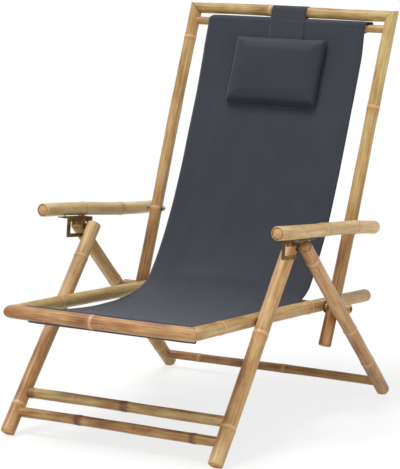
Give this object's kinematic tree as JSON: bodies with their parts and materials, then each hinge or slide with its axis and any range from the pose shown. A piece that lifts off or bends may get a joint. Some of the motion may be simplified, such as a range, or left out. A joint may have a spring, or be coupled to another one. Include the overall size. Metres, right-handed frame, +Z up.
{
  "type": "bamboo folding recliner",
  "caption": "Folding recliner of bamboo poles: crossed leg frames, a seat frame, a reclining back, armrests with notched brackets, and a hanging cloth sling with a head pillow.",
  "frame": {"origin": "on the floor, under the middle of the chair's bounding box", "axes": "+Z up, -Y towards the front of the chair, where the sitter's legs go, +X across the chair"},
  "size_m": [0.637, 0.943, 0.9366],
  "materials": {
    "bamboo": "varnished, half gloss",
    "bamboo_dark": "varnished, half gloss",
    "bamboo_end": "cut and sanded",
    "bronze": "dark bronze, worn bright at the edges",
    "steel": "plain",
    "black_steel": "blackened",
    "sling_cloth": "matt woven",
    "pillow_cloth": "matt woven with a slight sheen"
  },
  "bodies": {
    "front_legs": {"front_leg_left": "bamboo", "front_leg_right": "bamboo", "front_stretcher_upper": "bamboo_dark", "front_stretcher_lower": "bamboo_dark", "apex_pin_left": "steel", "apex_pin_right": "steel", "apex_inner_washer_left": "black_steel", "apex_inner_washer_right": "black_steel", "apex_outer_washer_left": "black_steel", "apex_outer_washer_right": "black_steel", "seat_pivot_pin_left": "steel", "seat_pivot_pin_right": "steel", "seat_pivot_washer_left": "black_steel", "seat_pivot_washer_right": "black_steel"},
    "rear_legs": {"rear_leg_left": "bamboo", "rear_leg_right": "bamboo", "rear_leg_plug_left": "bamboo_end", "rear_leg_plug_right": "bamboo_end", "rear_stretcher": "bamboo_dark"},
    "seat": {"seat_rail_left": "bamboo", "seat_rail_right": "bamboo", "seat_front_rail": "bamboo", "seat_corner_dowel_left": "bamboo_end", "seat_corner_dowel_right": "bamboo_end", "sling_rod_front": "bamboo_dark", "pivot_rod": "bamboo_dark", "pivot_rod_washer_left": "black_steel", "pivot_rod_washer_right": "black_steel", "sling_seat": "sling_cloth"},
    "back": {"back_stile_left": "bamboo", "back_stile_right": "bamboo", "top_rail": "bamboo", "top_corner_dowel_left": "bamboo_end", "top_corner_dowel_right": "bamboo_end", "sling_rod_top": "bamboo_dark", "arm_pivot_bolt_left": "steel", "arm_pivot_bolt_right": "steel", "arm_pivot_nut_left": "steel", "arm_pivot_nut_right": "steel", "arm_pivot_washer_left": "steel", "arm_pivot_washer_right": "steel", "arm_pivot_spacer_left": "steel", "arm_pivot_spacer_right": "steel", "sling_back": "sling_cloth", "headrest_pillow": "pillow_cloth", "headrest_strap": "sling_cloth"},
    "arm_left": {"armrest_left": "bamboo", "armrest_plug_left": "bamboo_end", "bracket_left": "bronze", "bracket_screw_front_left": "steel", "bracket_screw_rear_left": "steel"},
    "arm_right": {"armrest_right": "bamboo", "armrest_plug_right": "bamboo_end", "bracket_right": "bronze", "bracket_screw_front_right": "steel", "bracket_screw_rear_right": "steel"}
  },
  "joints": [
    {"name": "seat_fold", "type": "hinge", "parent": "front_legs", "child": "seat", "pos_m": [0, -0.19273, 0.27664], "axis": [1, 0, 0], "range_deg": [0, 46.5]},
    {"name": "rear_legs_fold", "type": "hinge", "parent": "front_legs", "child": "rear_legs", "pos_m": [0, -0.06335, 0.428], "axis": [-1, 0, 0], "range_deg": [0, 87.1]},
    {"name": "back_recline", "type": "hinge", "parent": "seat", "child": "back", "pos_m": [0, 0.16823, 0.25045], "axis": [-1, 0, 0], "range_deg": [0, 21.5]},
    {"name": "arm_left_swing", "type": "hinge", "parent": "back", "child": "arm_left", "pos_m": [-0.3023, 0.24663, 0.43336], "axis": [1, 0, 0], "range_deg": [0, 16.3]},
    {"name": "arm_right_swing", "type": "hinge", "parent": "back", "child": "arm_right", "pos_m": [0.3023, 0.24663, 0.43336], "axis": [1, 0, 0], "range_deg": [0, 16.3]}
  ],
  "couplings": [
    {"joint": "rear_legs_fold", "follows": "seat_fold", "ratio": 1.871},
    {"joint": "arm_left_swing", "follows": "back_recline", "ratio": 0.754},
    {"joint": "arm_right_swing", "follows": "back_recline", "ratio": 0.754}
  ]
}
